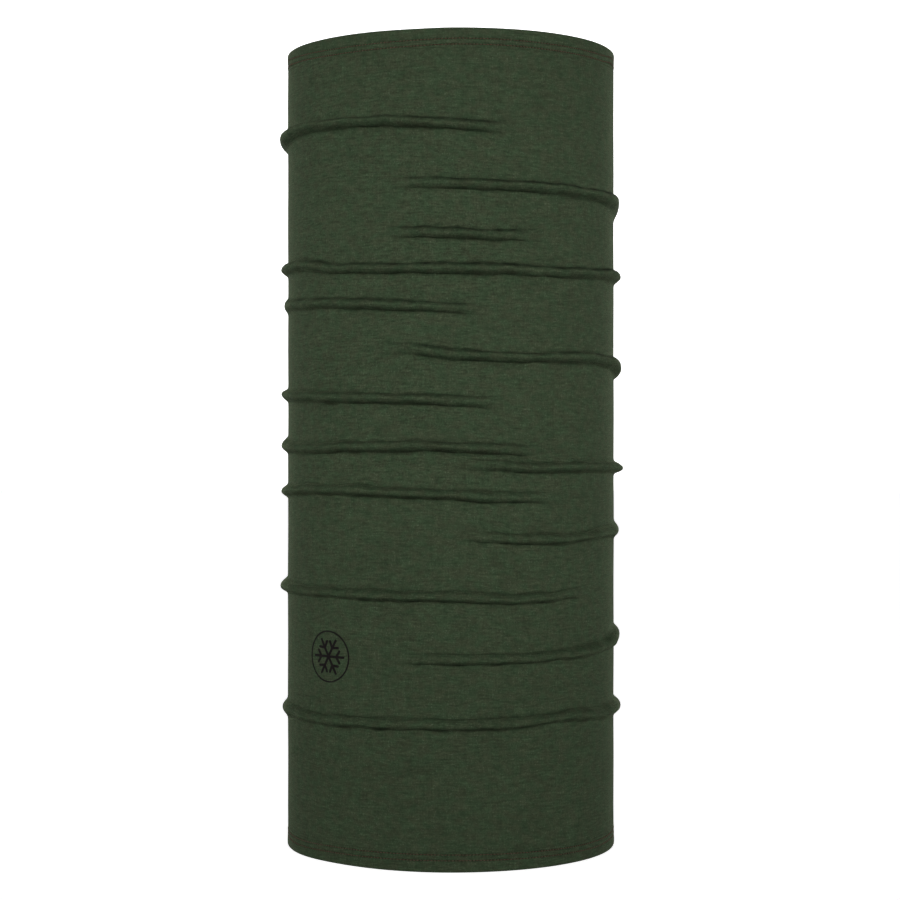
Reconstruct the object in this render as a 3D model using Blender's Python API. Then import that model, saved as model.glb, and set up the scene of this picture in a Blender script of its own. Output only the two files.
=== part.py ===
"""A hemmed neck gaiter: a tube of fine merino jersey, standing upright and stretched round.

Metres, +Z up along the tube, the front faces -Y and the origin is the centre of the lower rim.
The cloth is one radius all the way up. Its end bands are turned inwards and sewn with twin
needles, whose two threads lie outside and whose looper thread lies inside. The top edge slides
down as the tube is bunched round a neck, and the care label swings on the seam that holds it.
"""

import math

import bmesh
import bpy
from mathutils import Matrix, Vector

# Driving dimensions
HEIGHT = 0.422
OUTER_RADIUS = 0.0875
CLOTH = 0.0006
CLEARANCE = 0.0003
HEM_DEPTH = 0.010
SIDES = 64

# Twin-needle seam: two rows outside, one looper chain inside
NEEDLE_ROW_OUTER = 0.0060
NEEDLE_ROW_INNER = 0.0089
THREAD_WIDTH = 0.0006
THREAD_RISE = 0.0003
LOOPER_WIDTH = NEEDLE_ROW_INNER - NEEDLE_ROW_OUTER + 0.0010
LOOPER_RISE = 0.0004

# Care label, folded in two, at the back under the top hem
LABEL_WIDTH = 0.018
LABEL_LENGTH = 0.030
LABEL_THICKNESS = 0.0005
LABEL_DROP = 0.0006

# Printed mark on the left front: a snowflake inside a ring, drawn wider by the stretched cloth
PRINT_ANGLE = math.radians(-45.6)
PRINT_HEIGHT = 0.1055
PRINT_STRETCH = 1.105
PRINT_RISE = 0.0003
PRINT_STRIP = 0.0025
RING_RADIUS = 0.0133
RING_WIDTH = 0.0008
RING_SIDES = 48
ARMS = 6
ARM_LENGTH = 0.0104
ARM_HALF_WIDTH = 0.00065
BARB_START = 0.0051
BARB_LENGTH = 0.0037
BARB_ANGLE = math.radians(55.0)

EMPTY_SIZE = 0.02
SAME_POINT = 1e-6

INNER_RADIUS = OUTER_RADIUS - CLOTH
LEAF_OUTER = INNER_RADIUS - CLEARANCE
LEAF_INNER = LEAF_OUTER - CLOTH


def clear_scene():
    """Starts from an empty scene."""
    for obj in list(bpy.data.objects):
        bpy.data.objects.remove(obj)


def material(name, colour, roughness, metallic=0.0):
    """A plain Principled material."""
    made = bpy.data.materials.new(name)
    made.use_nodes = True
    shader = made.node_tree.nodes["Principled BSDF"]
    shader.inputs["Base Color"].default_value = (*colour, 1.0)
    shader.inputs["Roughness"].default_value = roughness
    shader.inputs["Metallic"].default_value = metallic
    return made


def world_location(empty):
    """An empty's place in the world, through its parents. None gives the origin."""
    if empty is None:
        return Vector()
    return empty.location + world_location(empty.parent)


def place(name, mesh, finish, parent=None):
    """Links a mesh given in world coordinates, hung on its parent empty without moving it."""
    obj = bpy.data.objects.new(name, mesh)
    mesh.materials.append(finish)
    bpy.context.scene.collection.objects.link(obj)
    mesh.transform(Matrix.Translation(-world_location(parent)))
    obj.parent = parent
    return obj


def joint_empty(name, location, parent=None):
    """An empty at a world location on its joint's axis."""
    empty = bpy.data.objects.new(name, None)
    empty.location = Vector(location) - world_location(parent)
    empty.parent = parent
    empty.empty_display_size = EMPTY_SIZE
    bpy.context.scene.collection.objects.link(empty)
    return empty


def turned_ring(name, profile, smooth_angle=math.radians(40.0)):
    """Turns a closed profile of (radius, height) points once round the Z axis."""
    shape = bmesh.new()
    points = [shape.verts.new((radius, 0.0, height)) for radius, height in profile]
    edges = [shape.edges.new((points[i - 1], points[i])) for i in range(len(points))]
    bmesh.ops.spin(
        shape,
        geom=points + edges,
        cent=(0.0, 0.0, 0.0),
        axis=(0.0, 0.0, 1.0),
        angle=2.0 * math.pi,
        steps=SIDES,
        use_merge=True,
    )
    bmesh.ops.remove_doubles(shape, verts=shape.verts, dist=SAME_POINT)
    bmesh.ops.recalc_face_normals(shape, faces=shape.faces)
    mesh = bpy.data.meshes.new(name)
    shape.to_mesh(mesh)
    shape.free()
    mesh.shade_smooth()
    mesh.set_sharp_from_angle(angle=smooth_angle)
    return mesh


def tube_profile():
    """The single-layer wall between the two hems."""
    low = HEM_DEPTH + CLEARANCE
    high = HEIGHT - HEM_DEPTH - CLEARANCE
    return [
        (INNER_RADIUS, low),
        (OUTER_RADIUS, low),
        (OUTER_RADIUS, high),
        (INNER_RADIUS, high),
    ]


def hem_profile(edge, inwards):
    """A band folded to the inside. edge is the rim's height and inwards is +1 or -1 in Z."""
    fold = edge + inwards * CLOTH
    raw = edge + inwards * HEM_DEPTH
    return [
        (OUTER_RADIUS, edge),
        (OUTER_RADIUS, raw),
        (INNER_RADIUS, raw),
        (INNER_RADIUS, fold),
        (LEAF_OUTER, fold),
        (LEAF_OUTER, raw),
        (LEAF_INNER, raw),
        (LEAF_INNER, edge),
    ]


def thread_profile(base, rise, width, height):
    """A low bead on the surface at radius base. A negative rise lies on the inside."""
    foot = base + math.copysign(CLEARANCE, rise)
    crest = foot + rise
    return [
        (foot, height - width / 2),
        (crest, height - width / 4),
        (crest, height + width / 4),
        (foot, height + width / 2),
    ]


def sewn_hem(end, edge, inwards, cloth, thread, parent):
    """One folded hem with its two needle threads outside and its looper chain inside."""
    hem = turned_ring(end + "_hem", hem_profile(edge, inwards))
    place(end + "_hem", hem, cloth, parent)
    rows = {
        ("upper" if inwards < 0 else "lower"): NEEDLE_ROW_OUTER,
        ("lower" if inwards < 0 else "upper"): NEEDLE_ROW_INNER,
    }
    for which, depth in rows.items():
        name = end + "_needle_thread_" + which
        row = thread_profile(OUTER_RADIUS, THREAD_RISE, THREAD_WIDTH, edge + inwards * depth)
        place(name, turned_ring(name, row), thread, parent)
    middle = edge + inwards * (NEEDLE_ROW_OUTER + NEEDLE_ROW_INNER) / 2
    name = end + "_looper_thread"
    chain = thread_profile(LEAF_INNER, -LOOPER_RISE, LOOPER_WIDTH, middle)
    place(name, turned_ring(name, chain), thread, parent)


def snowflake_outline():
    """The flat outline of the arms, each with one pair of barbs, as (across, up) points."""
    along = Vector((math.sin(BARB_ANGLE), math.cos(BARB_ANGLE)))
    side = Vector((along.y, -along.x)) * ARM_HALF_WIDTH
    climb = ARM_HALF_WIDTH / math.sin(BARB_ANGLE)
    tip = Vector((0.0, BARB_START)) + along * BARB_LENGTH
    slope = ARM_HALF_WIDTH / math.tan(BARB_ANGLE)
    right = [
        Vector((ARM_HALF_WIDTH, BARB_START + slope - climb)),
        tip + side,
        tip - side,
        Vector((ARM_HALF_WIDTH, BARB_START + slope + climb)),
        Vector((ARM_HALF_WIDTH, ARM_LENGTH)),
    ]
    left = [Vector((-point.x, point.y)) for point in reversed(right)]
    half_turn = math.pi / ARMS
    valley = Vector((-ARM_HALF_WIDTH, ARM_HALF_WIDTH / math.tan(half_turn)))
    arm = right + left + [valley]
    outline = []
    for turn in range(ARMS):
        spin = Matrix.Rotation((2 * turn + 1) * half_turn, 2)
        outline += [spin @ point for point in arm]
    return outline


def flat_snowflake():
    """The snowflake as one flat face, facing -Y, cut into upright strips."""
    shape = bmesh.new()
    outline = [shape.verts.new((point.x, 0.0, point.y)) for point in snowflake_outline()]
    shape.faces.new(outline)
    strips = math.ceil(ARM_LENGTH / PRINT_STRIP)
    for strip in range(-strips, strips):
        bmesh.ops.bisect_plane(
            shape,
            geom=shape.verts[:] + shape.edges[:] + shape.faces[:],
            dist=SAME_POINT,
            plane_co=((strip + 0.5) * PRINT_STRIP, 0.0, 0.0),
            plane_no=(1.0, 0.0, 0.0),
        )
    return shape


def flat_ring():
    """The ring as a flat band of faces, facing -Y."""
    shape = bmesh.new()
    loops = []
    for radius in (RING_RADIUS, RING_RADIUS - RING_WIDTH):
        turns = [2.0 * math.pi * side / RING_SIDES for side in range(RING_SIDES)]
        points = [(radius * math.cos(turn), 0.0, radius * math.sin(turn)) for turn in turns]
        loops.append([shape.verts.new(point) for point in points])
    outer, inner = loops
    for side in range(RING_SIDES):
        shape.faces.new((outer[side - 1], outer[side], inner[side], inner[side - 1]))
    return shape


def printed_film(name, shape, finish):
    """Gives a flat shape the film's thickness, and wraps it onto the cloth."""
    solid = bmesh.ops.extrude_face_region(shape, geom=shape.faces[:])
    moved = [item for item in solid["geom"] if isinstance(item, bmesh.types.BMVert)]
    bmesh.ops.translate(shape, verts=moved, vec=(0.0, -PRINT_RISE, 0.0))
    for vert in shape.verts:
        radius = OUTER_RADIUS + CLEARANCE - vert.co.y
        angle = PRINT_ANGLE + vert.co.x * PRINT_STRETCH / OUTER_RADIUS
        vert.co = (radius * math.sin(angle), -radius * math.cos(angle), vert.co.z + PRINT_HEIGHT)
    bmesh.ops.recalc_face_normals(shape, faces=shape.faces)
    mesh = bpy.data.meshes.new(name)
    shape.to_mesh(mesh)
    shape.free()
    place(name, mesh, finish)


def care_label(finish, hinge):
    """The folded label, hanging flat just inside the cloth, with softened corners."""
    mesh = bpy.data.meshes.new("care_label")
    shape = bmesh.new()
    bmesh.ops.create_cube(shape, size=1.0)
    bmesh.ops.scale(shape, vec=(LABEL_WIDTH, LABEL_THICKNESS, LABEL_LENGTH), verts=shape.verts)
    middle = world_location(hinge) - Vector((0.0, 0.0, LABEL_DROP + LABEL_LENGTH / 2))
    bmesh.ops.translate(shape, verts=shape.verts, vec=middle)
    shape.to_mesh(mesh)
    shape.free()
    label = place("care_label", mesh, finish, hinge)
    bevel = label.modifiers.new("soft_corners", "BEVEL")
    bevel.width = LABEL_THICKNESS * 0.3
    bevel.segments = 1


def build():
    """Makes every piece of the gaiter."""
    clear_scene()
    knit = material("merino_knit", (0.036, 0.051, 0.028), 0.9)
    thread = material("sewing_thread", (0.030, 0.022, 0.016), 0.7)
    film = material("print_film", (0.010, 0.008, 0.009), 0.55)
    woven = material("label_satin", (0.72, 0.71, 0.68), 0.45)
    place("knit_tube", turned_ring("knit_tube", tube_profile()), knit)
    sewn_hem("bottom", 0.0, 1.0, knit, thread, None)
    top_edge = joint_empty("top_edge_slide", (0.0, 0.0, HEIGHT))
    sewn_hem("top", HEIGHT, -1.0, knit, thread, top_edge)
    printed_film("print_snowflake", flat_snowflake(), film)
    printed_film("print_ring", flat_ring(), film)
    label_back = LEAF_INNER - CLEARANCE - LOOPER_RISE - CLEARANCE - LABEL_THICKNESS / 2
    label_top = HEIGHT - HEM_DEPTH - CLEARANCE
    hinge = joint_empty("label_swing", (0.0, label_back, label_top), top_edge)
    care_label(woven, hinge)


build()
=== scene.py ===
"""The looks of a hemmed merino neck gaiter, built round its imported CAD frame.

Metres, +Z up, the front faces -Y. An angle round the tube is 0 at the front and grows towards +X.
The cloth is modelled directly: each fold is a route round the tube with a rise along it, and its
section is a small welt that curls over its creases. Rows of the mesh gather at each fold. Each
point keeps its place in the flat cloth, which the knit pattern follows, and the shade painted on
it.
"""
import math

import bmesh
import bpy
import numpy as np
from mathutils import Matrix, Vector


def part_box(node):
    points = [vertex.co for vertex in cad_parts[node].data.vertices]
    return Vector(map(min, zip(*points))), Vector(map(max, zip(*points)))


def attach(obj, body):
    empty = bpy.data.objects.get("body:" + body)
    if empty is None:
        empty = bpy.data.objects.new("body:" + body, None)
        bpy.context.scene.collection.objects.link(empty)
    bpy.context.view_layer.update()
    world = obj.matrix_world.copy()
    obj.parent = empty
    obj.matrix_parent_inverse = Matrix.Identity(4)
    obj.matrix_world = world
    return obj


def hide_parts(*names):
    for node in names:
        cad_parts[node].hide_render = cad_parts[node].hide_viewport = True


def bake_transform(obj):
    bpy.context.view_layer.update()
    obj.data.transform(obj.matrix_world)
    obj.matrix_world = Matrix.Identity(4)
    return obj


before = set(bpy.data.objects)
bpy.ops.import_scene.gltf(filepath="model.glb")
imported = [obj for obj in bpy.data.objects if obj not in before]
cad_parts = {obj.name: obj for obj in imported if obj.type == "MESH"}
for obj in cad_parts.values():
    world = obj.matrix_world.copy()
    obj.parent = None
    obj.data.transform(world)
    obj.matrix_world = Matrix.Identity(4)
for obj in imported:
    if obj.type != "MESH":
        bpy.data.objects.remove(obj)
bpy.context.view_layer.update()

MM = 0.001
TUBE_LOW, TUBE_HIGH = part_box("knit_tube")
RADIUS = TUBE_HIGH.x + 0.1 * MM
RIM_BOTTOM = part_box("bottom_hem")[0].z
RIM_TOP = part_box("top_hem")[1].z
HEM_DEPTH = RIM_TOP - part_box("top_hem")[0].z
HEM_MEETS_TUBE = HEM_DEPTH + 0.15 * MM

# The photograph's camera: level with the middle of the tube and a hair to the left of its axis
CAMERA_DISTANCE = 1.1647
CAMERA_ASIDE = -0.45 * MM
CAMERA_LENS_MM = 86.36

# Studio: softboxes with grids, as (degrees round the tube, height, watts), a small light inside
# the tube, the strength of the surroundings by height of direction (-1 to 1), as (from, to,
# strength before, strength after), and a floor and wall that glow white
SOFTBOXES = ((0.0, 0.58, 0.365), (-70.0, 0.55, 0.16), (70.0, 0.32, 0.16), (180.0, 0.58, 0.18))
INSIDE_LIGHT_WATTS = 0.25
INSIDE_LIGHT_SIZE = 0.06
SOFTBOX_DISTANCE = 1.9
SOFTBOX_SIZE = 0.5
SOFTBOX_SPREAD = math.radians(24.0)
SOFTBOX_AIM = (0.0, 0.0, 0.28)
SKY_STEPS = ((-0.28, -0.12, 0.05, 3.55), (0.05, 0.23, 3.55, 0.05))
FLOOR_HALF = 10.0
FLOOR_GLOW = 0.9
WALL_HEIGHT = 14.0
WALL_GLOW = 1.0

# Cloth: its mesh, its size laid flat, its wales round the tube and the height of one course
CLOTH_COLUMNS = 140
CLOTH_THICKNESS = 0.5 * MM
WALES = 780
COURSE = 0.55 * MM
SWELL = 0.12 * MM
SWELL_FADE = 8.0 * MM
PATTERN_SMOOTHING = 10
SMOOTHING_PASSES = 3

# Twin-needle seam, measured from the hem's fold
STITCHES = 312
COLUMNS_PER_STITCH = 6
NEEDLE_ROWS = (6.0 * MM, 8.9 * MM)
ROW_PUCKER_MM = 0.40
PULL_OUTSIDE = -0.50 * MM
PULL_INSIDE = 0.15 * MM
HEM_RIPPLE = 0.07 * MM
RAW_EDGE_RIPPLE = 0.25 * MM
THREAD_RADIUS = 0.20 * MM
THREAD_SIDES = 6
NEEDLE_THREAD_POINTS = 10
NEEDLE_THREAD_DEPTH = 0.65 * MM
NEEDLE_THREAD_ARCH = 0.67 * MM
LOOPER_THREAD_POINTS = 12
NEEDLE_THREAD_LEAN = 0.09 * MM
STITCH_SCATTER = 0.05 * MM
LOOPER_THREAD_RADIUS = THREAD_RADIUS * 0.85
LOOPER_THREAD_DEPTH = 1.70 * MM
LOOPER_RELIEF = 0.16 * MM
LOOPER_OVERREACH = 0.25 * MM
LOOPER_BACKTRACK = 0.42

# A hem's section: distance from the fold and place outwards from the tube's radius, in mm. It
# runs down the outer leaf to the fold, up the inner leaf and across the raw edge.
HEM_SECTION = (
    (9.75, 0.00), (9.50, -0.04), (9.20, -0.10), (8.90, -0.16), (8.60, -0.10), (8.20, 0.04),
    (7.45, 0.10), (6.70, 0.04), (6.30, -0.10), (6.00, -0.16), (5.70, -0.08), (5.20, 0.08),
    (4.40, 0.16), (3.30, 0.22), (2.20, 0.24), (1.30, 0.22), (0.70, 0.15), (0.32, 0.02),
    (0.10, -0.18), (0.00, -0.48), (0.10, -0.80), (0.35, -1.06), (0.80, -1.28), (1.50, -1.44),
    (3.00, -1.54), (4.60, -1.50), (6.00, -1.34), (7.45, -1.46), (8.90, -1.34), (9.50, -1.46),
    (9.90, -1.44), (10.05, -1.20), (10.05, -0.85),
)

# How far each edge lies above its level, and its seam's rows below their depth, in {degrees: mm}
EDGE_LIFT = {
    "top": {-80: 0.0, -65: -0.2, -45: -0.4, -15: -0.4, 0: 0.0, 12: 0.15, 30: 0.4, 60: 0.6,
            80: 0.6, 180: 0.0},
    "bottom": {-70: 0.0, -42: 0.4, -20: 0.15, 0: 0.0, 180: 0.0},
}
SEAM_SHIFT = {
    "top": {-120: 0.0, -84: -2.4, -65: -0.8, -38: 0.3, -20: 0.0, 5: -0.5, 45: 0.0, 62: -0.2,
            75: -1.8, 84: -2.2, 120: 0.0},
    "bottom": {-120: 0.0, -65: -1.1, -42: -0.5, 0: 0.0, 30: -0.4, 60: -0.8, 85: 0.0},
}

# A fold's section from its upper to its lower side: height from the crest line in mm, rise as a
# share of the fold's own, and how far a curled fold moves the point up or down, in mm.
FOLD_SECTION = (
    (4.90, 0.00, 0.00),
    (4.25, 0.01, 0.00),
    (3.72, 0.05, -0.20),
    (3.32, 0.13, -0.55),
    (2.95, 0.25, -0.55),
    (2.62, 0.38, -0.25),
    (2.30, 0.51, 0.05),
    (1.92, 0.665, 0.05),
    (1.46, 0.815, 0.00),
    (0.90, 0.94, 0.00),
    (0.05, 1.00, 0.00),
    (-0.70, 0.955, 0.00),
    (-1.28, 0.85, -0.05),
    (-1.75, 0.715, -0.15),
    (-2.16, 0.57, -0.20),
    (-2.54, 0.42, -0.20),
    (-2.92, 0.28, 0.10),
    (-3.34, 0.15, 0.30),
    (-3.85, 0.05, 0.25),
    (-4.40, 0.01, 0.00),
    (-4.90, 0.00, 0.00),
)
SECTION_REACH = 4.9
CORE_REACH = 4.4
LONGEST_REACH = SECTION_REACH * 1.3 * MM
GAP_SHARE = 0.46
GAP_ROWS = 2

# How unevenly a fold and the shade painted in its creases run, and the rise in mm from which it
# curls over in full and from which that painted shade is at its darkest
CREST_WAVER = 0.30 * MM
RISE_WAVER = 0.20
WIDTH_WAVER = 0.10
UPPER_CURL_WAVER = 1.1
LOWER_CURL_WAVER = 0.8
CREASE_SHADE_WAVER = 0.6
FULL_CURL_RISE = 2.0
FULL_CREASE_SHADE_RISE = 3.0

# How dark the shade painted along a fold's two sides is, as {degrees: share}; it stands in for the
# shade in its creases. The upper painted shade fades from the high folds to the low ones, where the
# lower one deepens.
LOW_CREST = 0.17
HIGH_CREST = 0.31
UPPER_PAINTED_SHADE = {-90: 0.4, -60: 0.4, 0: 0.55, 30: 0.65, 60: 0.85, 90: 0.75, 120: 0.4, 180: 0.3}
LOWER_PAINTED_SHADE = {-90: 0.16, -60: 0.14, -20: 0.26, 30: 0.22, 60: 0.10, 90: 0.05, 180: 0.20}
LOW_FOLD_PAINTED_SHADE = 0.16

# The folds from top to bottom. Each has its crest's height, its rise and its width along it, as
# {degrees: mm}, {degrees: mm} and {degrees: share}, and how far its top leans up or down from
# its foot, as {degrees: mm}. What lies past 90 degrees is a guess.
FOLDS = (
    dict(  # A
        crest={-180: 375.0, -90: 376.6, -60: 377.6, -28: 376.6, 0: 374.0, 18: 372.4, 90: 372.5},
        rise={-150: 0, -120: 3, -90: 4.2, -60: 4.9, -20: 4.8, 2: 4.1, 13: 2.6, 22: 0},
        width={-120: 1.2, -90: 1.67, -60: 1.0},
        lean={-80: 0, -60: 0.8, -25: 0.8, 0: 0},
    ),
    dict(  # B
        crest={-90: 345.0, -15: 345.0, 10: 343.8, 45: 343.3, 75: 342.7, 90: 341.0, 130: 341.5},
        rise={-21: 0, -12: 2, 5: 4.1, 30: 4.8, 60: 4.8, 90: 2.9, 130: 3.2, 165: 1.5, 185: 0},
        width={55: 1.0, 90: 1.7, 120: 1.2},
        lean={10: 0, 25: 0.6, 60: 0.6, 90: 1.8, 120: 0},
    ),
    dict(  # C
        crest={-90: 324.0, -22: 320.8, 0: 319.5, 15: 318.7, 28: 319.4, 90: 322.0, 180: 324.0},
        rise={-145: 0, -25: 0, -14: 2.6, 0: 4.1, 14: 4.2, 24: 2, 31: 0, 150: 0, 170: 2.4, 195: 2.6},
    ),
    dict(  # D
        crest={-90: 307.5, -60: 306.9, -35: 302.9, 0: 301.9, 40: 301.5, 72: 303.4, 90: 303.6,
               140: 305.5, 220: 308.0},
        rise={-90: 3.7, -45: 4.8, 0: 4.8, 25: 4.2, 60: 4.7, 90: 3.7, 140: 3, 180: 2.2, 220: 3},
        width={55: 1.0, 90: 1.1, 120: 1.0},
        lean={35: 0, 50: 0.6, 75: 0.6, 90: 0},
    ),
    dict(  # E
        crest={-130: 289.5, -90: 288.2, -55: 286.7, -20: 284.0, 6: 281.8, 90: 285.0},
        rise={-160: 0, -125: 2.6, -90: 2, -45: 4.3, -20: 4.2, 0: 3.2, 13: 0},
        width={-125: 1.0, -90: 1.2, -60: 1.0},
    ),
    dict(  # F
        crest={-90: 258.0, -20: 262.2, 5: 258.5, 20: 257.7, 50: 258.6, 75: 257.0, 90: 253.6,
               140: 252.5},
        rise={-26: 0, -14: 2.6, 5: 4.2, 45: 4.8, 75: 4.8, 90: 3.8, 130: 3.2, 175: 0},
        width={60: 1.0, 90: 1.43, 120: 1.1},
        lean={0: 0, 15: 0.5, 70: 0.5, 90: -0.7, 120: 0},
    ),
    dict(  # G
        crest={-180: 240.0, -90: 240.5, -50: 238.4, -10: 236.5, 14: 235.2, 90: 236.0},
        rise={-155: 0, -120: 2.8, -90: 3.5, -50: 4.8, -15: 4.6, 5: 3.6, 18: 0},
        lean={-120: 0, -90: 0.5, -60: 0},
    ),
    dict(  # H
        crest={-140: 215.0, -90: 214.0, -60: 212.1, -12: 213.2, 8: 212.2, 27: 211.0, 90: 213.0},
        rise={-170: 0, -130: 2.6, -90: 3.4, -40: 4.6, 0: 4.8, 17: 3.6, 34: 0},
        width={-120: 1.0, -90: 1.22, -60: 1.0},
        lean={-120: 0, -90: -0.3, -60: 0},
    ),
    dict(  # I
        crest={-90: 201.5, 9: 204.0, 25: 202.3, 55: 202.5, 90: 201.5, 130: 199.5, 180: 200.0},
        rise={-1: 0, 12: 2.4, 30: 4.2, 60: 4.9, 90: 5.2, 120: 3.4, 160: 2.4, 185: 0},
        lean={60: 0, 90: -0.6, 120: 0},
    ),
    dict(  # J
        crest={-150: 187.0, -90: 188.9, -50: 191.1, -10: 189.4, 18: 187.4, 35: 187.0, 90: 186.0},
        rise={-165: 0, -130: 3, -90: 3.5, -40: 4.8, 5: 4.6, 24: 3.3, 42: 0},
        lean={-120: 0, -90: -0.3, 42: -0.3},
    ),
    dict(  # K
        crest={-90: 164.0, 5: 168.2, 25: 166.1, 40: 166.0, 60: 167.9, 90: 168.7, 140: 166.5},
        rise={-2: 0, 12: 2.4, 25: 4.2, 60: 4.8, 90: 2.5, 130: 2.8, 170: 0},
        width={60: 1.0, 90: 1.26, 120: 1.0},
        lean={5: -0.6, 65: -0.6, 90: -0.4, 120: 0},
    ),
    dict(  # L
        crest={-140: 140.0, -90: 139.0, -40: 138.4, 0: 137.8, 25: 136.3, 48: 138.0},
        rise={-175: 0, -130: 2.8, -90: 3.9, -50: 4.3, 20: 4.3, 38: 3.2, 55: 0},
        width={-120: 1.0, -90: 1.18, -60: 1.0},
        lean={-120: 0, -90: -0.6, 55: -0.6},
    ),
    dict(  # M
        crest={-90: 107.0, -15: 106.6, 10: 106.5, 42: 107.1, 65: 109.5, 90: 112.9, 130: 114.0},
        rise={-21: 0, -10: 1.9, 10: 3.9, 60: 4.7, 90: 3, 130: 3, 170: 0},
        width={60: 1.05, 90: 1.54, 130: 1.1},
        lean={-10: -0.7, 65: -0.6, 90: 0.8, 120: 0},
    ),
    dict(  # N
        crest={-90: 73.2, -75: 74.4, -50: 73.4, -10: 74.1, 12: 73.9, 42: 75.8, 65: 74.3, 90: 74.6,
               140: 76.0, 220: 72.0},
        rise={-90: 2.8, -50: 3.7, 0: 3.7, 50: 4.1, 90: 3.8, 140: 2.8, 180: 2.2, 220: 2.8},
        width={-90: 1.4, -50: 1.1, 50: 1.1, 90: 1.3, 180: 1.0},
        lean={-90: 0, -60: -0.7, 60: -0.7, 90: 0},
    ),
    dict(  # O
        crest={-90: 53.0, 0: 52.0, 90: 50.0, 180: 47.0},
        rise={-80: 0, -72: 0.7, -64: 0, -20: 0, -10: 0.8, 0: 0, 140: 0, 165: 1.8, 190: 0},
    ),
)

# Printed mark on the left front: a snowflake in a ring, drawn wider by the stretched cloth
PRINT_ANGLE = math.radians(-45.6)
PRINT_HEIGHT = 0.1055
PRINT_STRETCH = 1.105
PRINT_RISE = 0.10 * MM
PRINT_DEPTH = 0.25 * MM
PRINT_CELL = 1.0 * MM
RING_RADIUS = 13.3 * MM
RING_WIDTH = 0.8 * MM
RING_SIDES = 96
ARMS = 6
ARM_LENGTH = 10.4 * MM
ARM_HALF_WIDTH = 0.65 * MM
BARB_START = 5.1 * MM
BARB_LENGTH = 3.7 * MM
BARB_ANGLE = math.radians(55.0)
TIP_POINTS = 5

# Colours
GREEN_FIBRE = (0.0328, 0.0526, 0.0272, 1.0)
BROWN_FIBRE = (0.0383, 0.0502, 0.0275, 1.0)
PALE_FIBRE = (0.120, 0.150, 0.100, 1.0)
DARK_THREAD = (0.060, 0.024, 0.014, 1.0)
LIGHT_THREAD = (0.120, 0.054, 0.030, 1.0)
DARK_FILM = (0.0075, 0.0055, 0.0060, 1.0)
LIGHT_FILM = (0.0120, 0.0110, 0.0095, 1.0)
DARK_SATIN = (0.66, 0.65, 0.61, 1.0)
LIGHT_SATIN = (0.78, 0.77, 0.74, 1.0)
LABEL_STRIPE = (0.036, 0.051, 0.028, 1.0)

# Care label, folded in two and caught in the top hem at the back
LABEL_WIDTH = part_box("care_label")[1].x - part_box("care_label")[0].x
LABEL_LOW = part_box("care_label")[0].z
LABEL_SEWN_TO = RIM_TOP - 4.6 * MM
LABEL_LEAVES_HEM = RIM_TOP - 8.5 * MM
LABEL_HANGS_FROM = RIM_TOP - 10.0 * MM
LABEL_FOLD_RISE = 0.9 * MM
LABEL_ON_HEM = RADIUS - 1.62 * MM
LABEL_HANGS_AT = RADIUS - 2.6 * MM
LABEL_THICKNESS = 0.14 * MM
LABEL_COLUMNS = 25

random_source = np.random.default_rng(7)


# ---------------------------------------------------------------- measuring round the tube

def around(stops, angles):
    """Smooth values all the way round, through {degrees: value} stops, with no overshoot."""
    degrees = np.array(sorted(stops), float)
    values = np.array([stops[stop] for stop in sorted(stops)], float)
    at = np.concatenate([degrees - 360.0, degrees, degrees + 360.0])
    values = np.tile(values, 3)
    rate = np.diff(values) / np.diff(at)
    before, after = rate[:-1], rate[1:]
    same_way = before * after > 0
    total = np.where(same_way, before + after, 1.0)
    slope = np.zeros(len(at))
    slope[1:-1] = np.where(same_way, 2.0 * before * after / total, 0.0)
    where = np.degrees(angles)
    left = np.clip(np.searchsorted(at, where, side="right") - 1, 0, len(at) - 2)
    gap = at[left + 1] - at[left]
    t = (where - at[left]) / gap
    return (
        values[left] * (2 * t**3 - 3 * t**2 + 1)
        + values[left + 1] * (3 * t**2 - 2 * t**3)
        + slope[left] * gap * (t**3 - 2 * t**2 + t)
        + slope[left + 1] * gap * (t**3 - t**2)
    )


def waver(angles, lowest, highest):
    """A seamless wavering value of about -1 to 1, from waves of lowest to highest laps."""
    laps = np.arange(lowest, highest + 1)
    phase = random_source.uniform(0.0, 2.0 * math.pi, len(laps))
    size = random_source.uniform(0.4, 1.0, len(laps)) / np.sqrt(laps)
    waves = size[:, None] * np.sin(laps[:, None] * angles[None, :] + phase[:, None])
    total = waves.sum(axis=0)
    return total / (2.0 * total.std())


def lap(count):
    """Angles once round the tube, starting at the back."""
    return np.arange(count) * 2.0 * math.pi / count - math.pi


def at_angle(angles, radius, height):
    """Points in the frame at these angles, radii and heights."""
    return np.stack(np.broadcast_arrays(
        radius * np.sin(angles), -radius * np.cos(angles), height), axis=-1)


def edge_lift(end, angles):
    """How far the top or bottom edge lies above its level."""
    return around(EDGE_LIFT[end], angles) * MM


def seam_shift(end, angles):
    """How much deeper than usual the seam's rows lie. The hem was not sewn quite evenly."""
    return around(SEAM_SHIFT[end], angles) * MM


def wall_swell(angles, height):
    """The slow unevenness of the cloth between its folds, as a radius in metres."""
    slow = np.sin(3.0 * angles + 40.0 * height) * np.sin(61.0 * height + 2.0 * np.sin(2.0 * angles))
    return SWELL * slow


# ---------------------------------------------------------------- meshes

def mesh_object(name, points, faces, smooth=True):
    """A new object from points and faces, linked to the scene."""
    mesh = bpy.data.meshes.new(name)
    mesh.from_pydata(np.asarray(points).reshape(-1, 3).tolist(), [], faces)
    mesh.validate()
    if smooth:
        mesh.shade_smooth()
    made = bpy.data.objects.new(name, mesh)
    bpy.context.scene.collection.objects.link(made)
    return made


def grid_faces(columns, rows, first=0, flip=False, close_columns=True, close_rows=False):
    """Quads over a grid of points kept row by row."""
    across = columns if close_columns else columns - 1
    up = rows if close_rows else rows - 1
    faces = []
    for row in range(up):
        low = first + row * columns
        high = first + (row + 1) % rows * columns
        for column in range(across):
            beside = (column + 1) % columns
            quad = (low + column, low + beside, high + beside, high + column)
            faces.append(quad[::-1] if flip else quad)
    return faces


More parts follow.
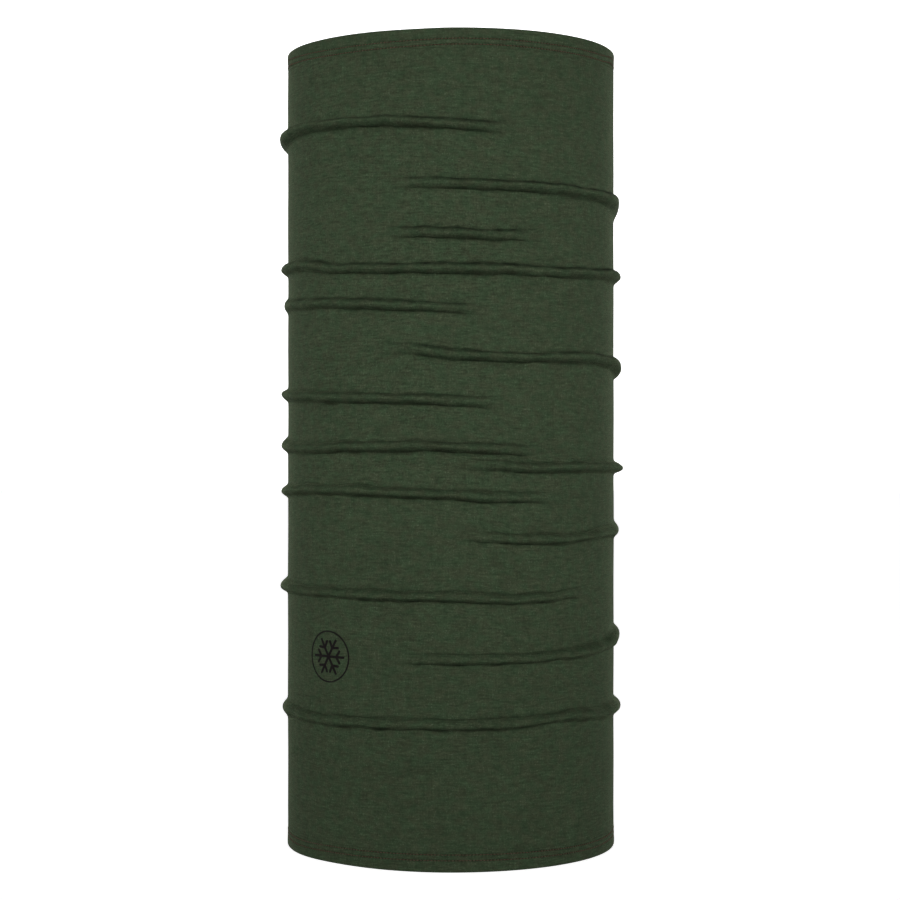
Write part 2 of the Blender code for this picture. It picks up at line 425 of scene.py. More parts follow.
def keep_place(made, places):
    """Stores where each point was in the flat cloth, which its pattern follows."""
    kept = made.data.attributes.new("cloth_place", "FLOAT_VECTOR", "POINT")
    kept.data.foreach_set("vector", np.asarray(places, np.float32).ravel())


def keep_painted_shade(made, painted_shades):
    """Stores the shade painted at each point, in the folds' creases and round the needle holes."""
    kept = made.data.attributes.new("painted_shade", "FLOAT", "POINT")
    kept.data.foreach_set("value", np.asarray(painted_shades, np.float32).ravel())


def grid_normals(points):
    """Outward unit normals of a grid of points, rows by columns, closed round the columns."""
    along = np.roll(points, -1, axis=1) - np.roll(points, 1, axis=1)
    up = np.gradient(points, axis=0)
    normal = np.cross(along, up)
    return normal / np.linalg.norm(normal, axis=2, keepdims=True)


# ---------------------------------------------------------------- the folded cloth

def fold_rows(fold, angles, above, below):
    """One fold's rows of (height, radius, painted shade), from its upper to its lower side.

    above and below are how far up and down it may reach at each angle."""
    off_side = 1.0 - np.exp(-((np.degrees(np.abs(angles)) - 90.0) / 20.0) ** 2)
    crest = around(fold["crest"], angles) * MM + CREST_WAVER * waver(angles, 9, 60)
    rise = np.clip(around(fold["rise"], angles), 0.0, None)
    rise = rise * MM * (1.0 + RISE_WAVER * off_side * waver(angles, 5, 50))
    width = around(fold.get("width", {0: 1.0}), angles)
    width = width * (1.0 + WIDTH_WAVER * off_side * waver(angles, 4, 40))
    lean = around(fold.get("lean", {0: 0.0}), angles)
    curl = off_side * np.clip(rise / (FULL_CURL_RISE * MM), 0.0, 1.0) ** 2 / width
    upper_curl = curl * np.clip(1.0 + UPPER_CURL_WAVER * waver(angles, 5, 34), 0.0, 2.8)
    lower_curl = curl * np.clip(1.0 + LOWER_CURL_WAVER * waver(angles, 5, 34), 0.0, 2.4)
    # The shade painted along the fold's creases: its strength, and how dark it is on each side.
    crease_shade = np.clip(rise / (FULL_CREASE_SHADE_RISE * MM), 0.0, 1.0)
    crease_shade = crease_shade * np.clip(1.0 + CREASE_SHADE_WAVER * waver(angles, 20, 69), 0.2, 1.8)
    high = np.clip((crest - LOW_CREST) / (HIGH_CREST - LOW_CREST), 0.0, 1.0)
    upper_painted_shade = crease_shade * high * around(UPPER_PAINTED_SHADE, angles)
    lower_painted_shade = crease_shade * (around(LOWER_PAINTED_SHADE, angles) + (1.0 - high) * LOW_FOLD_PAINTED_SHADE)
    rows = []
    for height, share, curl_shift in FOLD_SECTION:
        room = above if height > 0 else below
        core = min(abs(height), CORE_REACH) * MM * width
        outer = max(abs(height) - CORE_REACH, 0.0) / (SECTION_REACH - CORE_REACH)
        spread = core + outer * np.maximum(room - CORE_REACH * MM * width, 0.1 * MM)
        shift = (upper_curl if height > 0 else lower_curl) * curl_shift + lean * (share - 0.5)
        level = crest + np.sign(height) * spread + shift * MM
        painted_shade = upper_painted_shade if height > 0 else lower_painted_shade
        rows.append((level, RADIUS + rise * share, painted_shade * 4.0 * share * (1.0 - share)))
    return rows


def cloth_surface():
    """The outside of the wall between the hems, as rows from bottom to top: points and painted
    shade.
    """
    angles = lap(CLOTH_COLUMNS)
    top = RIM_TOP - HEM_MEETS_TUBE + edge_lift("top", angles)
    bottom = RIM_BOTTOM + HEM_MEETS_TUBE + edge_lift("bottom", angles)
    crests = [around(fold["crest"], angles) * MM for fold in FOLDS]
    rows = [plain_row(top)]
    for number, fold in enumerate(FOLDS):
        over = crests[number - 1] if number else top + LONGEST_REACH
        under = crests[number + 1] if number + 1 < len(FOLDS) else bottom - LONGEST_REACH
        above = np.minimum(LONGEST_REACH, GAP_SHARE * (over - crests[number]))
        below = np.minimum(LONGEST_REACH, GAP_SHARE * (crests[number] - under))
        folded = fold_rows(fold, angles, above, below)
        rows += gap_rows(rows[-1][0], folded[0][0]) + folded
    rows += gap_rows(rows[-1][0], bottom) + [plain_row(bottom)]
    heights, radii, painted_shade = np.array(rows[::-1]).transpose(1, 0, 2)
    fade = np.clip(np.minimum(heights - bottom, top - heights) / SWELL_FADE, 0.0, 1.0)
    radii = radii + fade * wall_swell(angles, heights)
    return at_angle(angles[None, :], radii, heights), painted_shade


def plain_row(height):
    """A row of unfolded wall, as (height, radius, painted shade)."""
    return height, np.full(CLOTH_COLUMNS, RADIUS), np.zeros(CLOTH_COLUMNS)


def gap_rows(last, until):
    """Rows of unfolded wall between two heights."""
    shares = [row / (GAP_ROWS + 1) for row in range(1, GAP_ROWS + 1)]
    return [plain_row(last + (until - last) * share) for share in shares]


def cloth_lengths(points):
    """Each point's way up the cloth itself, evened out round the tube so that courses run level."""
    steps = np.linalg.norm(np.diff(points, axis=0), axis=2)
    length = np.vstack([np.zeros(points.shape[1]), np.cumsum(steps, axis=0)])
    length = length * (length[-1].mean() / length[-1])
    for _ in range(SMOOTHING_PASSES):
        beside = [np.roll(length, step, axis=1)
                  for step in range(-PATTERN_SMOOTHING, PATTERN_SMOOTHING + 1)]
        length = np.mean(beside, axis=0)
    return length


def make_tube(knit):
    """The folded wall, with an outer and an inner face."""
    outer, painted_shade = cloth_surface()
    inner = outer - grid_normals(outer) * CLOTH_THICKNESS
    inner[0, :, 2], inner[-1, :, 2] = outer[0, :, 2], outer[-1, :, 2]
    rows, columns = outer.shape[:2]
    lengths = cloth_lengths(outer) + HEM_MEETS_TUBE
    places = at_angle(lap(columns)[None, :], RADIUS, lengths)
    inside = rows * columns
    faces = grid_faces(columns, rows) + grid_faces(columns, rows, inside, flip=True)
    for column in range(columns):
        beside = (column + 1) % columns
        faces.append((column, inside + column, inside + beside, beside))
        last = (rows - 1) * columns
        faces.append((last + column, last + beside, inside + last + beside, inside + last + column))
    made = mesh_object("knit_cloth", np.concatenate([outer, inner]), faces)
    made.data.set_sharp_from_angle(angle=math.radians(60.0))
    keep_place(made, np.concatenate([places, places]).reshape(-1, 3))
    # Painted shade in the creases, on the outer face only.
    keep_painted_shade(made, [painted_shade, np.zeros_like(painted_shade)])
    made.data.materials.append(knit)
    return made


# ---------------------------------------------------------------- hems and their threads

def shifted_depth(depth, shift):
    """A hem point's distance from the fold in metres, once the seam's rows lie deeper by shift."""
    first, second = NEEDLE_ROWS
    if depth <= first:
        return depth * (first + shift) / first
    if depth <= second:
        return depth + shift
    return second + shift + (depth - second) * (HEM_MEETS_TUBE - second - shift) / (
        HEM_MEETS_TUBE - second)


def make_hem(end, edge, inwards, knit):
    """A folded hem with its puckers, as one closed ring. inwards is +1 or -1 along Z."""
    angles = lap(STITCHES * COLUMNS_PER_STITCH)
    hole = np.clip(np.cos(angles * STITCHES), 0.0, None) ** 2
    shift, lift = seam_shift(end, angles), edge_lift(end, angles)
    section = ((HEM_MEETS_TUBE / MM, 0.0),) + HEM_SECTION + ((HEM_MEETS_TUBE / MM, -0.5),)
    ripple = HEM_RIPPLE * waver(angles, 20, 90)
    points, places, painted_shades = [], [], []
    for depth, out in section:
        off_rows = [(depth - row / MM) / ROW_PUCKER_MM for row in NEEDLE_ROWS]
        near_row = max(math.exp(-(off_row**2)) for off_row in off_rows)
        inside = out < -0.7
        pull = (PULL_INSIDE if inside else PULL_OUTSIDE) * near_row * hole
        free = math.sin(math.pi * min(depth / (HEM_DEPTH / MM), 1.0))
        radius = RADIUS + out * MM + pull + ripple * free
        ragged = RAW_EDGE_RIPPLE * waver(angles, 30, 120) if inside and depth > 9.0 else 0.0
        height = edge + inwards * (shifted_depth(depth * MM, shift) + ragged) + lift
        points.append(at_angle(angles, radius, height))
        cloth = -depth if inside else depth
        length = edge + inwards * cloth * MM if inwards > 0 else RIM_TOP + 0.04 - cloth * MM
        places.append(at_angle(angles, RADIUS, np.full(len(angles), length)))
        # Painted shade round the needle holes and along the seam's rows, where the cloth is pulled
        # in.
        painted_shades.append(near_row**3 * (0.30 + 0.70 * hole))
    columns, rows = len(angles), len(section)
    faces = grid_faces(columns, rows, close_rows=True, flip=inwards > 0)
    made = mesh_object(end + "_folded_hem", np.array(points), faces)
    keep_place(made, np.array(places).reshape(-1, 3))
    keep_painted_shade(made, painted_shades)
    made.data.materials.append(knit)
    return made


def thread_tube(name, path, radius, finish, upright):
    """A closed tube along a ring of points. upright is a direction that the path never takes."""
    sides = THREAD_SIDES
    tangent = np.roll(path, -1, axis=0) - np.roll(path, 1, axis=0)
    tangent = tangent / np.linalg.norm(tangent, axis=1, keepdims=True)
    side = np.cross(tangent, upright)
    side = side / np.linalg.norm(side, axis=1, keepdims=True)
    up = np.cross(side, tangent)
    turn = np.arange(sides) * 2.0 * math.pi / sides
    rings = (
        path[:, None, :]
        + radius * np.cos(turn)[None, :, None] * side[:, None, :]
        + radius * np.sin(turn)[None, :, None] * up[:, None, :]
    )
    faces = grid_faces(sides, len(path), close_rows=True, flip=True)
    made = mesh_object(name, rings, faces)
    step = np.linalg.norm(np.diff(path, axis=0, append=path[:1]), axis=1)
    run = np.concatenate([[0.0], np.cumsum(step)[:-1]])
    place = np.stack(np.broadcast_arrays(run[:, None], turn[None, :], 0.0), axis=-1)
    keep_place(made, place.reshape(-1, 3))
    made.data.materials.append(finish)
    return made


def stitch_run(points_each):
    """Angles along a row of stitches, with how far through its own stitch each point is."""
    count = STITCHES * points_each
    through = np.arange(count) % points_each / points_each
    return np.arange(count) * 2.0 * math.pi / count - math.pi, through


def per_stitch(points_each, size):
    """One random value for each stitch, repeated over its points."""
    return np.repeat(random_source.uniform(-size, size, STITCHES), points_each)


def make_needle_thread(name, end, edge, inwards, depth, finish):
    """One row of stitches: each rises out of its hole, lies on the cloth and dives again."""
    points_each = NEEDLE_THREAD_POINTS
    angles, through = stitch_run(points_each)
    arch = np.clip(2.0 * np.sin(math.pi * through) - 1.0, 0.0, 1.0)
    rise = arch * (NEEDLE_THREAD_ARCH + per_stitch(points_each, STITCH_SCATTER))
    radius = RADIUS - NEEDLE_THREAD_DEPTH + rise
    lean = per_stitch(points_each, NEEDLE_THREAD_LEAN) * np.sin(2.0 * math.pi * through)
    level = edge + inwards * (depth + seam_shift(end, angles)) + edge_lift(end, angles)
    height = level + lean + STITCH_SCATTER * waver(angles, 8, 60)
    path = at_angle(angles, radius, height)
    return thread_tube(name, path, THREAD_RADIUS, finish, np.array([0.0, 0.0, 1.0]))


def make_looper_thread(name, end, edge, inwards, finish):
    """The chain inside: it crosses between the rows and loops back on itself at each needle."""
    points_each = LOOPER_THREAD_POINTS
    angles, through = stitch_run(points_each)
    turn = 2.0 * math.pi * through
    swing = (NEEDLE_ROWS[1] - NEEDLE_ROWS[0]) / 2 + LOOPER_OVERREACH
    middle = (NEEDLE_ROWS[0] + NEEDLE_ROWS[1]) / 2
    pitch = 2.0 * math.pi / STITCHES
    angles = angles + LOOPER_BACKTRACK * pitch * np.sin(2.0 * turn)
    depth = middle + swing * np.cos(turn) + per_stitch(points_each, STITCH_SCATTER)
    level = edge + inwards * (depth + seam_shift(end, angles)) + edge_lift(end, angles)
    radius = RADIUS - LOOPER_THREAD_DEPTH - LOOPER_RELIEF * np.cos(2.0 * turn + 0.8)
    path = at_angle(angles, radius, level)
    inward = path * np.array([1.0, 1.0, 0.0])
    return thread_tube(name, path, LOOPER_THREAD_RADIUS, finish, inward)


# ---------------------------------------------------------------- print and label

def arm_outline():
    """One arm of the snowflake, pointing up, from its right valley to its left one."""
    along = np.array([math.sin(BARB_ANGLE), math.cos(BARB_ANGLE)])
    side = np.array([along[1], -along[0]]) * ARM_HALF_WIDTH
    climb = ARM_HALF_WIDTH / math.sin(BARB_ANGLE)
    slope = ARM_HALF_WIDTH / math.tan(BARB_ANGLE)
    barb_tip = np.array([0.0, BARB_START]) + along * BARB_LENGTH
    right = [(ARM_HALF_WIDTH, BARB_START + slope - climb)]
    for step in range(TIP_POINTS):
        turn = math.pi * step / (TIP_POINTS - 1)
        right.append(barb_tip + side * math.cos(turn) + along * ARM_HALF_WIDTH * math.sin(turn))
    right.append((ARM_HALF_WIDTH, BARB_START + slope + climb))
    for step in range(TIP_POINTS // 2 + 1):
        turn = math.pi * step / (TIP_POINTS - 1)
        arm_tip = ARM_LENGTH - ARM_HALF_WIDTH
        right.append((ARM_HALF_WIDTH * math.cos(turn), arm_tip + ARM_HALF_WIDTH * math.sin(turn)))
    left = [(-x, y) for x, y in reversed(right[:-1])]
    valley = (-ARM_HALF_WIDTH, ARM_HALF_WIDTH / math.tan(math.pi / ARMS))
    return right + left + [valley]


def flat_snowflake():
    """The snowflake as one flat face cut into small cells, facing -Y."""
    shape = bmesh.new()
    outline = []
    for arm in range(ARMS):
        turn = (2 * arm + 1) * math.pi / ARMS
        for x, y in arm_outline():
            across = x * math.cos(turn) - y * math.sin(turn)
            up = x * math.sin(turn) + y * math.cos(turn)
            outline.append(shape.verts.new((across, 0.0, up)))
    shape.faces.new(outline)
    cells = math.ceil(ARM_LENGTH / PRINT_CELL)
    for direction in ((1.0, 0.0, 0.0), (0.0, 0.0, 1.0)):
        for cell in range(-cells, cells):
            middle = [(cell + 0.5) * PRINT_CELL * part for part in direction]
            everything = shape.verts[:] + shape.edges[:] + shape.faces[:]
            bmesh.ops.bisect_plane(
                shape, geom=everything, dist=1e-6, plane_co=middle, plane_no=direction)
    return shape


def flat_ring():
    """The ring as a flat band of faces, facing -Y."""
    shape = bmesh.new()
    loops = []
    for radius in (RING_RADIUS, RING_RADIUS - RING_WIDTH):
        turns = lap(RING_SIDES)
        loops.append([shape.verts.new((radius * math.cos(turn), 0.0, radius * math.sin(turn)))
                      for turn in turns])
    outer, inner = loops
    for side in range(RING_SIDES):
        shape.faces.new((outer[side - 1], outer[side], inner[side], inner[side - 1]))
    return shape


def printed_film(name, shape, finish):
    """Gives a flat shape the film's thickness, and lays it on the cloth."""
    solid = bmesh.ops.extrude_face_region(shape, geom=shape.faces[:])
    raised = {item for item in solid["geom"] if isinstance(item, bmesh.types.BMVert)}
    for vert in shape.verts:
        angle = PRINT_ANGLE + vert.co.x * PRINT_STRETCH / RADIUS
        height = PRINT_HEIGHT + vert.co.z
        level = PRINT_RISE if vert in raised else -PRINT_DEPTH
        radius = RADIUS + float(wall_swell(angle, height)) + level
        vert.co = (radius * math.sin(angle), -radius * math.cos(angle), height)
    bmesh.ops.recalc_face_normals(shape, faces=shape.faces)
    mesh = bpy.data.meshes.new(name)
    shape.to_mesh(mesh)
    shape.free()
    mesh.shade_smooth()
    mesh.set_sharp_from_angle(angle=math.radians(50.0))
    made = bpy.data.objects.new(name, mesh)
    bpy.context.scene.collection.objects.link(made)
    mesh.materials.append(finish)
    return made


def label_route():
    """The folded ribbon's way down and back up, as (distance from the axis, height)."""
    front = [(LABEL_ON_HEM, LABEL_SEWN_TO), (LABEL_ON_HEM, LABEL_LEAVES_HEM)]
    for step in range(1, 15):
        share = step / 14.0
        height = LABEL_HANGS_FROM - share * (LABEL_HANGS_FROM - LABEL_LOW - LABEL_FOLD_RISE)
        bow = 0.9 * MM * math.sin(math.pi * share) * share
        front.append((LABEL_HANGS_AT - bow - 0.35 * MM, height))
    bend = []
    for step in range(1, 6):
        turn = math.pi * step / 6.0
        radius = LABEL_HANGS_AT + 0.10 * MM - 0.45 * MM * math.cos(turn)
        bend.append((radius, LABEL_LOW + LABEL_FOLD_RISE - 0.75 * MM * math.sin(turn)))
    back = [(radius + 0.8 * MM, height) for radius, height in reversed(front[2:])]
    behind = LABEL_ON_HEM + 0.17 * MM
    back += [(behind, LABEL_LEAVES_HEM), (behind, LABEL_SEWN_TO)]
    return front + bend + back


def make_label():
    """The care label and its length: a satin ribbon folded at its lower end, cupped a little."""
    route = label_route()
    columns = LABEL_COLUMNS
    across = np.linspace(-LABEL_WIDTH / 2, LABEL_WIDTH / 2, columns)
    points, places = [], []
    run = 0.0
    for number, (radius, height) in enumerate(route):
        if number:
            last_radius, last_height = route[number - 1]
            run += math.hypot(radius - last_radius, height - last_height)
        edge_curl = 0.25 * MM * (across / (LABEL_WIDTH / 2)) ** 4
        hanging = min(max((LABEL_HANGS_FROM - height) / (8.0 * MM), 0.0), 1.0)
        back = np.sqrt(radius**2 - across**2) - edge_curl * hanging
        points.append(np.stack([across, back, np.full(columns, height)], axis=1))
        places.append(np.stack([across, np.zeros(columns), np.full(columns, run)], axis=1))
    faces = grid_faces(columns, len(route), close_columns=False)
    made = mesh_object("satin_care_label", np.array(points), faces)
    keep_place(made, np.array(places).reshape(-1, 3))
    made.data.materials.append(label_material(run))
    solid = made.modifiers.new("thickness", "SOLIDIFY")
    solid.thickness = LABEL_THICKNESS
    solid.offset = 0.0
    return made, run


# ---------------------------------------------------------------- materials

class Graph:
    """A node material while it is being put together."""

    def __init__(self, name, colour, roughness):
        self.material = bpy.data.materials.new(name)
        self.material.use_nodes = True
        self.tree = self.material.node_tree
        self.shader = self.tree.nodes["Principled BSDF"]
        self.shader.inputs["Base Color"].default_value = (*colour, 1.0)
        self.shader.inputs["Roughness"].default_value = roughness

    def node(self, kind, inputs, **settings):
        """Adds a node, with each input set or linked, and returns its outputs."""
        made = self.tree.nodes.new(kind)
        for key, value in settings.items():
            setattr(made, key, value)
        for key, value in inputs.items():
            self.feed(made.inputs[key], value)
        return made.outputs

    def feed(self, socket, value):
        """Links an output to a socket, or sets the socket's own value."""
        if isinstance(value, bpy.types.NodeSocket):
            self.tree.links.new(value, socket)
        else:
            socket.default_value = value

    def math(self, operation, *values):
        """One sum on numbers or outputs."""
        return self.node("ShaderNodeMath", dict(enumerate(values)), operation=operation)[0]

    def place(self):
        """Where the shading point was in the flat cloth."""
        return self.node("ShaderNodeAttribute", {}, attribute_name="cloth_place")["Vector"]

    def noise(self, place, scale, detail=2.0, roughness=0.5):
        """Noise whose cells are 1/scale metres along each axis."""
        inputs = {0: place, 1: scale}
        stretched = self.node("ShaderNodeVectorMath", inputs, operation="MULTIPLY")["Vector"]
        inputs = {"Vector": stretched, "Scale": 1.0, "Detail": detail, "Roughness": roughness}
        return self.node("ShaderNodeTexNoise", inputs)["Fac"]

    def spread(self, value, low, high, to_low, to_high):
        """Maps low..high onto to_low..to_high, clamped."""
        inputs = {"Value": value, "From Min": low, "From Max": high,
                  "To Min": to_low, "To Max": to_high}
        return self.node("ShaderNodeMapRange", inputs)["Result"]

    def blend(self, share, first, second):
        """Mixes two colours."""
        inputs = {0: share, 6: first, 7: second}
        return self.node("ShaderNodeMix", inputs, data_type="RGBA")[2]

    def darken(self, colour, share):
        """Multiplies a colour by a number."""
        inputs = {0: colour, "Scale": share}
        return self.node("ShaderNodeVectorMath", inputs, operation="SCALE")["Vector"]

    def bump(self, height, distance, strength, under=None):
        """A normal roughened by a height, over another roughened one if there is one."""
        inputs = {"Height": height, "Distance": distance, "Strength": strength}
        if under is not None:
            inputs["Normal"] = under
        return self.node("ShaderNodeBump", inputs)["Normal"]


def knit_stitches(graph, place):
    """The height of the jersey's stitches: two slanting legs to each wale."""
    parts = graph.node("ShaderNodeSeparateXYZ", {0: place})
    toward = graph.math("MULTIPLY", parts["Y"], -1.0)
    angle = graph.math("ARCTAN2", parts["X"], toward)
    wale = graph.math("MULTIPLY", angle, WALES / (2.0 * math.pi))
    across = graph.math("ABSOLUTE", graph.math("SUBTRACT", graph.math("FRACT", wale), 0.5))
    leg = graph.math("SINE", graph.math("MULTIPLY", across, 2.0 * math.pi))
    climb = graph.math("MULTIPLY", parts["Z"], 1.0 / COURSE)
    slant = graph.math("SUBTRACT", climb, graph.math("MULTIPLY", across, 1.3))
    course = graph.math("SINE", graph.math("MULTIPLY", slant, 2.0 * math.pi))
    rounded = graph.spread(course, -1.0, 1.0, 0.35, 1.0)
    return graph.math("MULTIPLY", leg, rounded)


def knit_material():
    """Melange merino jersey: green and brown fibres in fine uneven courses, a little fuzzy."""
    graph = Graph("melange_merino", (0.036, 0.051, 0.028), 0.9)
    place = graph.place()
    patches = graph.noise(place, (200.0, 200.0, 250.0), 2.0)
    grain = graph.noise(place, (1300.0, 1300.0, 1300.0), 0.3)
    crinkle = graph.noise(place, (230.0, 230.0, 1300.0), 0.6)
    courses = graph.noise(place, (60.0, 60.0, 1400.0), 1.0)
    wales = graph.noise(place, (1050.0, 1050.0, 170.0), 0.5)
    ripples = graph.noise(place, (45.0, 45.0, 360.0), 1.0)
    slow = graph.noise(place, (30.0, 30.0, 60.0), 2.0)
    fibres = graph.noise(place, (1900.0, 1900.0, 1900.0), 0.0)
    stitches = knit_stitches(graph, place)
    brown = graph.spread(patches, 0.36, 0.64, 0.0, 1.0)
    colour = graph.blend(brown, GREEN_FIBRE, BROWN_FIBRE)
    light_fleck = graph.spread(fibres, 0.66, 0.76, 0.0, 0.25)
    colour = graph.blend(light_fleck, colour, PALE_FIBRE)
    shade = graph.spread(stitches, 0.0, 1.0, 0.95, 1.05)
    for value, amount in ((grain, 0.18), (crinkle, 0.20), (courses, 0.09), (wales, 0.08),
                          (ripples, 0.03), (slow, 0.025)):
        part = graph.spread(value, 0.25, 0.75, 1.0 - amount, 1.0 + amount)
        shade = graph.math("MULTIPLY", shade, part)
    # Painted shade: the cloth is darkened in the folds' creases and round the seam's needle holes.
    painted_shade = graph.node("ShaderNodeAttribute", {}, attribute_name="painted_shade")["Fac"]
    shade = graph.math("MULTIPLY", shade, graph.spread(painted_shade, 0.0, 1.0, 1.0, 0.2))
    graph.feed(graph.shader.inputs["Base Color"], graph.darken(colour, shade))
    uneven = graph.math("ADD", crinkle, graph.math("MULTIPLY", courses, 0.5))
    normal = graph.bump(uneven, 0.18 * MM, 0.6)
    normal = graph.bump(stitches, 0.09 * MM, 0.4, normal)
    graph.feed(graph.shader.inputs["Normal"], normal)
    graph.shader.inputs["Specular IOR Level"].default_value = 0.05
    # Painted shade: the sheen fades where the creases and needle holes are shaded.
    graph.feed(graph.shader.inputs["Sheen Weight"], graph.spread(painted_shade, 0.0, 0.6, 0.22, 0.02))
    graph.shader.inputs["Sheen Roughness"].default_value = 0.26
    graph.shader.inputs["Sheen Tint"].default_value = (0.40, 0.50, 0.28, 1.0)
    return graph.material


def thread_material():
    """Twisted brown sewing thread."""
    graph = Graph("brown_thread", (0.030, 0.022, 0.016), 0.6)
    place = graph.place()
    parts = graph.node("ShaderNodeSeparateXYZ", {0: place})
    twist = graph.math("ADD", graph.math("MULTIPLY", parts["X"], 2.0 * math.pi / (0.55 * MM)),
                       graph.math("MULTIPLY", parts["Y"], 2.0))
    ply = graph.math("SINE", twist)
    tone = graph.noise(place, (900.0, 2.0, 1.0), 2.0)
    colour = graph.blend(tone, DARK_THREAD, LIGHT_THREAD)
    shade = graph.spread(ply, -1.0, 1.0, 0.65, 1.1)
    graph.feed(graph.shader.inputs["Base Color"], graph.darken(colour, shade))
    graph.feed(graph.shader.inputs["Normal"], graph.bump(ply, 0.05 * MM, 0.7))
    graph.shader.inputs["Specular IOR Level"].default_value = 0.3
    return graph.material


def film_material():
    """Thin near-black transfer film, grainy and a little worn."""
    graph = Graph("transfer_film", (0.0095, 0.0075, 0.0080), 0.7)
    place = graph.node("ShaderNodeTexCoord", {})["Object"]
    grain = graph.noise(place, (1400.0, 1400.0, 1800.0), 2.0)
    worn = graph.noise(place, (260.0, 260.0, 340.0), 3.0)
    colour = graph.blend(graph.spread(worn, 0.45, 0.8, 0.0, 1.0), DARK_FILM, LIGHT_FILM)
    graph.feed(graph.shader.inputs["Base Color"], colour)
    graph.feed(graph.shader.inputs["Roughness"], graph.spread(grain, 0.3, 0.7, 0.6, 0.85))
    graph.feed(graph.shader.inputs["Normal"], graph.bump(grain, 0.06 * MM, 0.4))
    graph.shader.inputs["Specular IOR Level"].default_value = 0.03
    return graph.material


def label_material(length):
    """Off-white satin ribbon with a woven stripe at each edge and two across its fold."""
    graph = Graph("white_satin", (0.72, 0.71, 0.68), 0.4)
    place = graph.place()
    parts = graph.node("ShaderNodeSeparateXYZ", {0: place})
    off_middle = graph.math("ABSOLUTE", parts["X"])
    selvedge = graph.spread(off_middle, LABEL_WIDTH * 0.455, LABEL_WIDTH * 0.465, 0.0, 1.0)
    off_fold = graph.math("ABSOLUTE", graph.math("SUBTRACT", parts["Z"], length / 2))
    stripe = graph.math("COMPARE", off_fold, 4.0 * MM, 0.35 * MM)
    yarn = graph.math("SINE", graph.math("MULTIPLY", parts["X"], 2.0 * math.pi / (0.22 * MM)))
    pick = graph.math("SINE", graph.math("MULTIPLY", parts["Z"], 2.0 * math.pi / (0.30 * MM)))
    weave = graph.math("MULTIPLY", yarn, graph.spread(pick, -1.0, 1.0, 0.5, 1.0))
    tone = graph.noise(place, (300.0, 1.0, 4000.0), 2.0)
    plain = graph.darken(graph.blend(tone, DARK_SATIN, LIGHT_SATIN),
                         graph.spread(weave, -1.0, 1.0, 0.9, 1.03))
    marked = graph.math("MAXIMUM", stripe, graph.math("MULTIPLY", selvedge, 0.35))
    colour = graph.blend(marked, plain, LABEL_STRIPE)
    graph.feed(graph.shader.inputs["Base Color"], colour)
    graph.feed(graph.shader.inputs["Normal"], graph.bump(weave, 0.04 * MM, 0.5))
    graph.shader.inputs["Anisotropic"].default_value = 0.4
    return graph.material


def white_material(name, glow):
    """A white studio surface, lit a little from behind."""
    graph = Graph(name, (0.9, 0.9, 0.9), 0.9)
    graph.shader.inputs["Specular IOR Level"].default_value = 0.0
    graph.shader.inputs["Emission Color"].default_value = (1.0, 1.0, 1.0, 1.0)
    graph.shader.inputs["Emission Strength"].default_value = glow
    graph.material.cycles.emission_sampling = "NONE"
    return graph.material


# ---------------------------------------------------------------- camera, studio and assembly

def make_camera():
    """The photograph's view: level, along +Y."""
    data = bpy.data.cameras.new("camera")
    data.lens = CAMERA_LENS_MM
    data.sensor_width = 36.0
    camera = bpy.data.objects.new("camera", data)
    camera.location = (CAMERA_ASIDE, -CAMERA_DISTANCE, (RIM_TOP + RIM_BOTTOM) / 2)
    camera.rotation_euler = (math.radians(90.0), 0.0, 0.0)
    bpy.context.scene.collection.objects.link(camera)
    bpy.context.scene.camera = camera


def make_stage_piece(name, points, faces, glow):
    """A white studio surface. Its light stays off the cloth, whose folds are dark underneath."""
    piece = mesh_object(name, points, faces, smooth=False)
    piece.data.materials.append(white_material(name, glow))
    piece.visible_diffuse = False
    piece.visible_glossy = False
    piece.visible_shadow = False
    return piece


def make_stage():
    """A wide white floor, with a white wall a long way behind it all round."""
    corners = [(-FLOOR_HALF, -FLOOR_HALF, 0.0), (FLOOR_HALF, -FLOOR_HALF, 0.0),
               (FLOOR_HALF, FLOOR_HALF, 0.0), (-FLOOR_HALF, FLOOR_HALF, 0.0)]
    floor = make_stage_piece("studio_floor", corners, [(0, 1, 2, 3)], FLOOR_GLOW)
    floor.visible_shadow = True
    top = [(x, y, WALL_HEIGHT) for x, y, _ in corners]
    sides = [(side, (side + 1) % 4, (side + 1) % 4 + 4, side + 4) for side in range(4)]
    make_stage_piece("studio_wall", corners + top, sides, WALL_GLOW)


def make_surroundings():
    """White all round at eye level, and darker overhead and below."""
    world = bpy.data.worlds.new("studio")
    world.use_nodes = True
    tree = world.node_tree
    background = tree.nodes["Background"]
    background.inputs["Color"].default_value = (1.0, 1.0, 1.0, 1.0)
    direction = tree.nodes.new("ShaderNodeTexCoord")
    parts = tree.nodes.new("ShaderNodeSeparateXYZ")
    tree.links.new(direction.outputs["Generated"], parts.inputs[0])
    last = None
    for low, high, at_low, at_high in SKY_STEPS:
        step = tree.nodes.new("ShaderNodeMapRange")
        step.interpolation_type = "SMOOTHSTEP"
        tree.links.new(parts.outputs["Z"], step.inputs["Value"])
        for key, value in (("From Min", low), ("From Max", high), ("To Min", at_low),
                           ("To Max", at_high)):
            step.inputs[key].default_value = value
        if last is None:
            last = step.outputs["Result"]
        else:
            both = tree.nodes.new("ShaderNodeMath")
            both.operation = "MINIMUM"
            tree.links.new(last, both.inputs[0])
            tree.links.new(step.outputs["Result"], both.inputs[1])
            last = both.outputs[0]
    tree.links.new(last, background.inputs["Strength"])
    bpy.context.scene.world = world


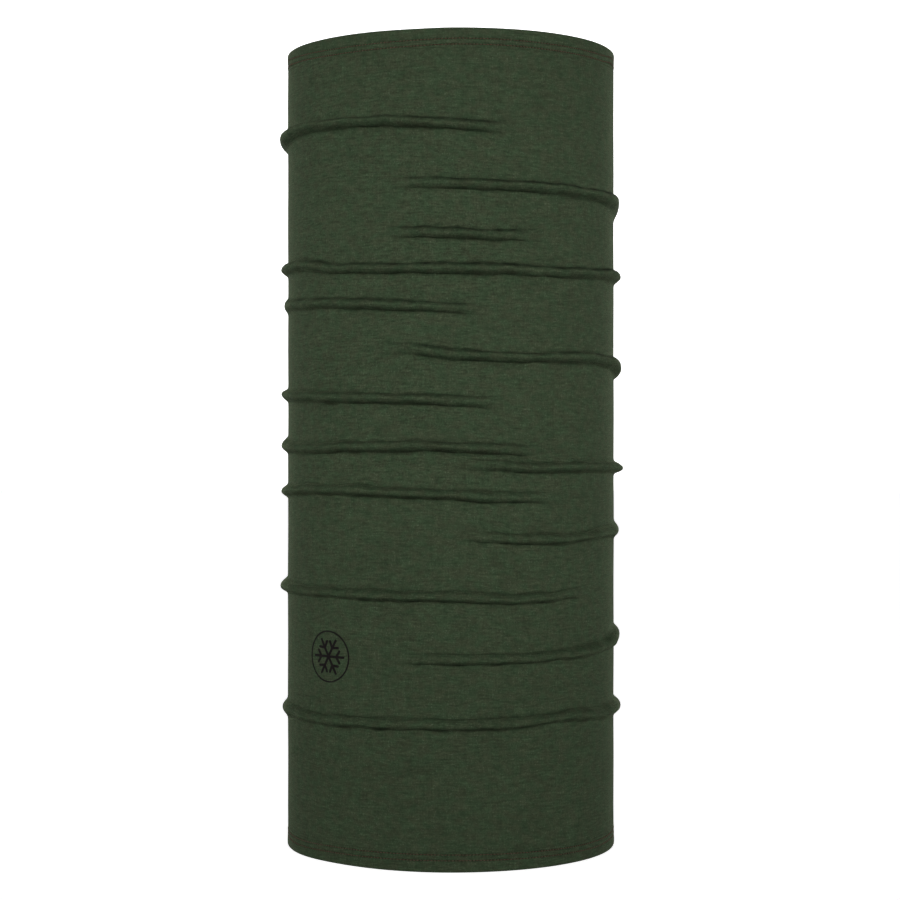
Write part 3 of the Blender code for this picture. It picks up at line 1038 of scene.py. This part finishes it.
def make_light():
    """White surroundings, softboxes a little above the tube, and a small light inside it."""
    make_surroundings()
    for degrees, height, watts in SOFTBOXES:
        data = bpy.data.lights.new("softbox", "AREA")
        data.size = SOFTBOX_SIZE
        data.spread = SOFTBOX_SPREAD
        data.energy = watts
        light = bpy.data.objects.new("softbox", data)
        light.location = at_angle(math.radians(degrees), SOFTBOX_DISTANCE, height)
        toward = Vector(SOFTBOX_AIM) - light.location
        light.rotation_euler = toward.to_track_quat("-Z", "Y").to_euler()
        bpy.context.scene.collection.objects.link(light)
    data = bpy.data.lights.new("inside_light", "POINT")
    data.shadow_soft_size = INSIDE_LIGHT_SIZE
    data.energy = INSIDE_LIGHT_WATTS
    light = bpy.data.objects.new("inside_light", data)
    light.location = (0.0, 0.0, (RIM_TOP + RIM_BOTTOM) / 2)
    light.visible_camera = False
    bpy.context.scene.collection.objects.link(light)
    bpy.context.scene.view_settings.view_transform = "Standard"


def assemble():
    """Makes every piece, hands the hems and their threads to their CAD bodies, and hides the CAD
    parts.
    """
    knit = knit_material()
    thread = thread_material()
    cloth = make_tube(knit)
    ends = (("bottom", "tube", RIM_BOTTOM, 1.0), ("top", "top_edge", RIM_TOP, -1.0))
    for end, body, edge, inwards in ends:
        hem = make_hem(end, edge, inwards, knit)
        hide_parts(end + "_hem")
        threads = [make_looper_thread(end + "_looper_chain", end, edge, inwards, thread)]
        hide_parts(end + "_looper_thread")
        rows = ("upper", "lower") if inwards < 0 else ("lower", "upper")
        for which, depth in zip(rows, NEEDLE_ROWS, strict=True):
            name = end + "_needle_stitches_" + which
            row = make_needle_thread(name, end, edge, inwards, depth, thread)
            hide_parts(end + "_needle_thread_" + which)
            threads.append(row)
        for piece in [hem] + threads:
            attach(piece, body)
    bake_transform(cloth)
    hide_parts("knit_tube")
    film = film_material()
    for node, shape in (("print_snowflake", flat_snowflake()), ("print_ring", flat_ring())):
        mark = printed_film("film_" + node, shape, film)
        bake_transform(mark)
        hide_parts(node)
    label, length = make_label()
    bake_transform(label)
    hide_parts("care_label")


make_camera()
make_light()
make_stage()
assemble()
